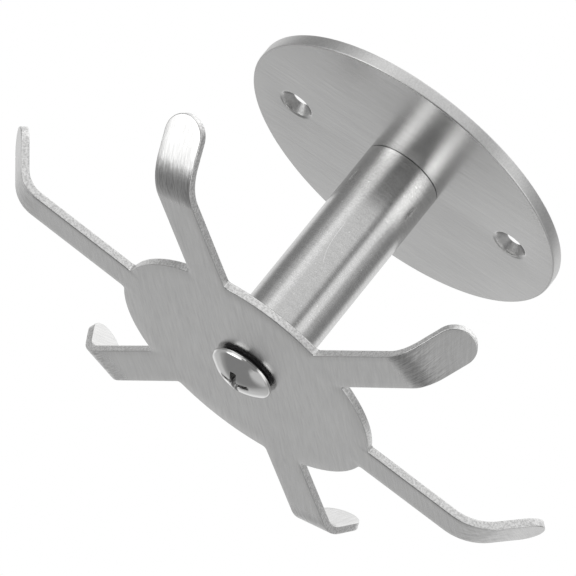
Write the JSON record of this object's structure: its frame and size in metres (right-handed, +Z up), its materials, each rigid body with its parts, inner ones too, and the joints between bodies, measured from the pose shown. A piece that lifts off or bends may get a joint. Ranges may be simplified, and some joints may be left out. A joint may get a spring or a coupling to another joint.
{
  "type": "rotating ceiling hook",
  "caption": "Ceiling-mounted rotating closet hook: round plate, post and a turning hub with bent arms for coat hangers.",
  "frame": {"origin": "centre of the round plate's mounting face, which lies in z = 0 against the ceiling", "axes": "+Z up into the ceiling and along the post and the turning axis; X through the two mounting holes"},
  "size_m": [0.1554, 0.1484, 0.071],
  "materials": {
    "satin_plate": "satin",
    "satin_post": "satin",
    "brushed_sheet": "brushed",
    "polished_steel": "polished",
    "zinc_steel": "zinc plated",
    "machined_plug": "machined",
    "white_nylon": "matte",
    "black_nylon": "matte"
  },
  "bodies": {
    "root": {"base_plate": "satin_plate", "plate_screw": "zinc_steel", "post_tube": "satin_post", "upper_plug": "machined_plug", "lower_plug": "machined_plug", "head_washer": "black_nylon", "pivot_screw": "polished_steel"},
    "carousel": {"hook_plate": "brushed_sheet", "pivot_bush": "white_nylon"}
  },
  "joints": [
    {"name": "carousel_spin", "type": "hinge", "parent": "root", "child": "carousel", "pos_m": [0, 0, -0.0657], "axis": [0, 0, 1], "continuous": true}
  ]
}
